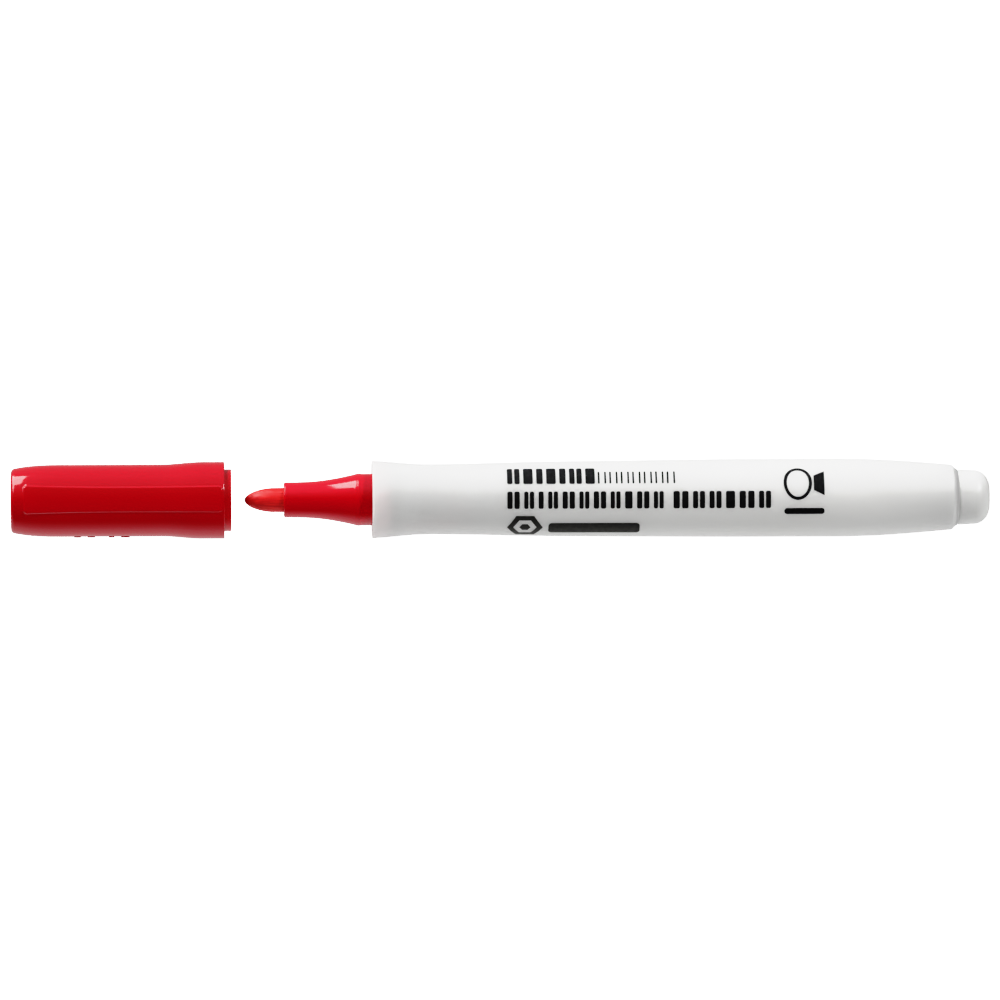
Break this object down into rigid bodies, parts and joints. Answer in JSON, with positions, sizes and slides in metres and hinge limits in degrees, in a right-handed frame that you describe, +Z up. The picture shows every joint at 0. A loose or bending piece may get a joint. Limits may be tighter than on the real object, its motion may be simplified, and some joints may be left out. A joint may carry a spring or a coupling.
{
  "type": "whiteboard marker",
  "caption": "Slim round whiteboard marker with a bullet nib, waisted barrel and tail plug, and a push-on cap with raised side panels that slides off along the axis.",
  "frame": {"origin": "on the surface the barrel lies on, below the middle of the laid-out length (cap pulled off the nib)", "axes": "+X along the marker from the cap's crown to the tail plug, +Z up, the cap's raised panels face -Y and +Y"},
  "size_m": [0.1591, 0.0126, 0.0127],
  "materials": {
    "barrel_white": "semi-gloss moulded white with faint flow variation and printed marks",
    "plug_white": "semi-gloss moulded white",
    "section_red": "gloss moulded red",
    "nib_fibre": "bonded fibre soaked with red ink, matte with a wet point",
    "reservoir_fibre": "loose bonded fibre soaked with red ink",
    "reservoir_film": "thin clear film",
    "cap_red": "gloss moulded red with fine scuffs",
    "liner_red": "smooth moulded red, less polished"
  },
  "bodies": {
    "barrel": {"barrel_tube": "barrel_white", "end_plug": "plug_white", "front_section": "section_red", "nib": "nib_fibre", "reservoir_core": "reservoir_fibre", "reservoir_film": "reservoir_film"},
    "cap": {"cap_shell": "cap_red", "cap_liner": "liner_red"}
  },
  "joints": [
    {"name": "cap_slide", "type": "slide", "parent": "barrel", "child": "cap", "axis": [1, 0, 0], "range_m": [0, 0.02385]}
  ]
}
